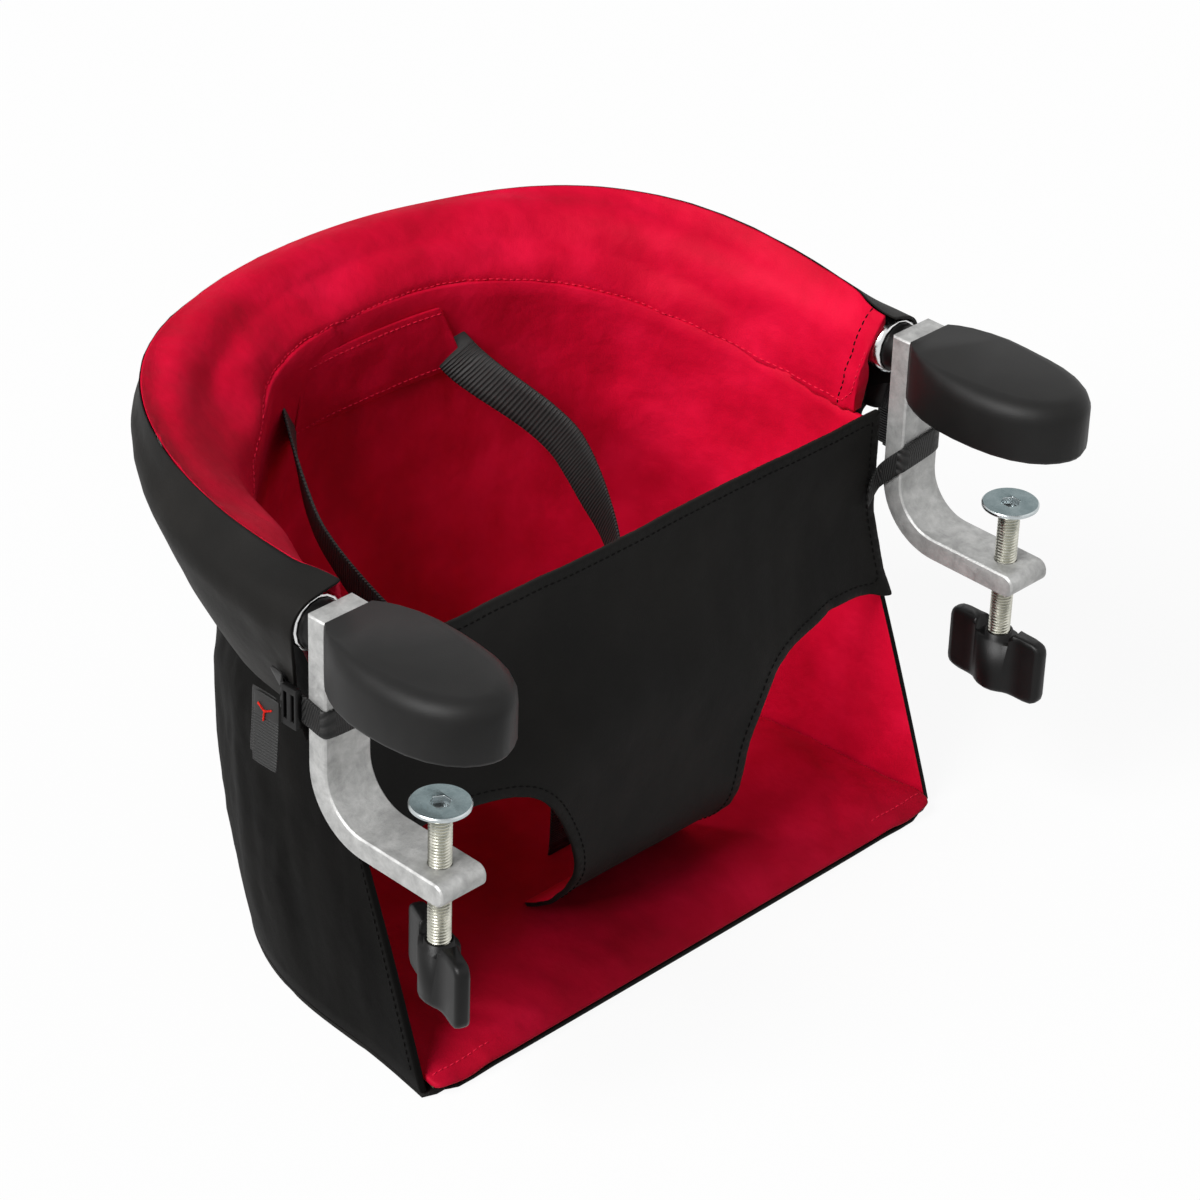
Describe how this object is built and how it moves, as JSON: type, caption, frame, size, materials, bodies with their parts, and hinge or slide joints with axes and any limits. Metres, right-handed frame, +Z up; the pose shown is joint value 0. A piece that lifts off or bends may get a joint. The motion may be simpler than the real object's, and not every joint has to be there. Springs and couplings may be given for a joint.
{
  "type": "hook-on table chair",
  "caption": "Hook-on table chair: a red and black fabric baby seat on a bent tube frame, clamped to a table edge by C-brackets with rubber grips and winged screw knobs.",
  "frame": {"origin": "under the middle of the whole chair, at the height of the underside of its base", "axes": "+X across the seat from the left clamp to the right clamp, +Y from the clamps to the back rest, +Z up"},
  "size_m": [0.405, 0.3218, 0.2572],
  "materials": {
    "red_fabric": "matt woven polyester, padded",
    "black_fabric": "matt woven polyester",
    "black_webbing": "ribbed webbing",
    "board": "plain fibreboard",
    "steel_tube": "polished",
    "zinc_steel": "bright zinc plate",
    "cast_aluminium": "tumbled matt",
    "black_rubber": "satin",
    "black_plastic": "satin",
    "red_plastic": "gloss"
  },
  "bodies": {
    "seat": {"frame_tube": "steel_tube", "rim_pad": "red_fabric", "rim_cover": "black_fabric", "back_panel": "black_fabric", "front_panel": "black_fabric", "base_cover": "black_fabric", "seat_board": "board", "base_pad": "red_fabric", "front_piping": "black_fabric", "strap_guide": "red_fabric", "buckle_housing": "black_plastic", "crotch_strap": "black_webbing", "left_end_bush": "black_plastic", "right_end_bush": "black_plastic", "left_tube_rivet": "zinc_steel", "right_tube_rivet": "zinc_steel", "left_side_panel": "black_fabric", "right_side_panel": "black_fabric", "left_belt": "black_webbing", "right_belt": "black_webbing", "left_belt_tongue": "black_plastic", "right_belt_tongue": "black_plastic", "left_post_strap": "black_webbing", "right_post_strap": "black_webbing", "left_strap_slider": "black_plastic", "right_strap_slider": "black_plastic", "left_strap_tail": "black_webbing", "right_strap_tail": "black_webbing"},
    "left_clamp": {"left_bracket": "cast_aluminium", "left_grip": "black_rubber", "left_pivot_pin": "zinc_steel"},
    "right_clamp": {"right_bracket": "cast_aluminium", "right_grip": "black_rubber", "right_pivot_pin": "zinc_steel"},
    "left_screw": {"left_clamp_screw": "zinc_steel"},
    "right_screw": {"right_clamp_screw": "zinc_steel"},
    "left_knob_body": {"left_knob": "black_plastic"},
    "right_knob_body": {"right_knob": "black_plastic"},
    "release_button": {"buckle_button": "red_plastic"}
  },
  "joints": [
    {"name": "left_clamp_fold", "type": "hinge", "parent": "seat", "child": "left_clamp", "pos_m": [-0.175, -0.06095, 0.2208], "axis": [0, -1, 0], "range_deg": [0, 90], "deforming": ["left_post_strap"]},
    {"name": "left_screw_travel", "type": "slide", "parent": "left_clamp", "child": "left_screw", "axis": [0, 0, 1], "range_m": [-0.018, 0.024]},
    {"name": "left_knob_turn", "type": "hinge", "parent": "left_screw", "child": "left_knob_body", "pos_m": [-0.175, -0.12625, 0.0935], "axis": [0, 0, 1], "range_deg": [-4320, 5760]},
    {"name": "right_clamp_fold", "type": "hinge", "parent": "seat", "child": "right_clamp", "pos_m": [0.175, -0.06095, 0.2208], "axis": [0, 1, 0], "range_deg": [0, 90], "deforming": ["right_post_strap"]},
    {"name": "right_screw_travel", "type": "slide", "parent": "right_clamp", "child": "right_screw", "axis": [0, 0, 1], "range_m": [-0.018, 0.024]},
    {"name": "right_knob_turn", "type": "hinge", "parent": "right_screw", "child": "right_knob_body", "pos_m": [0.175, -0.12625, 0.0935], "axis": [0, 0, 1], "range_deg": [-4320, 5760]},
    {"name": "buckle_button_press", "type": "slide", "parent": "seat", "child": "release_button", "axis": [0, 1, 0], "range_m": [0, 0.0025], "stiffness_N_per_m": 800}
  ],
  "couplings": [
    {"joint": "left_knob_turn", "follows": "left_screw_travel", "rad_per_m": 4188.8},
    {"joint": "right_knob_turn", "follows": "right_screw_travel", "rad_per_m": 4188.8}
  ]
}
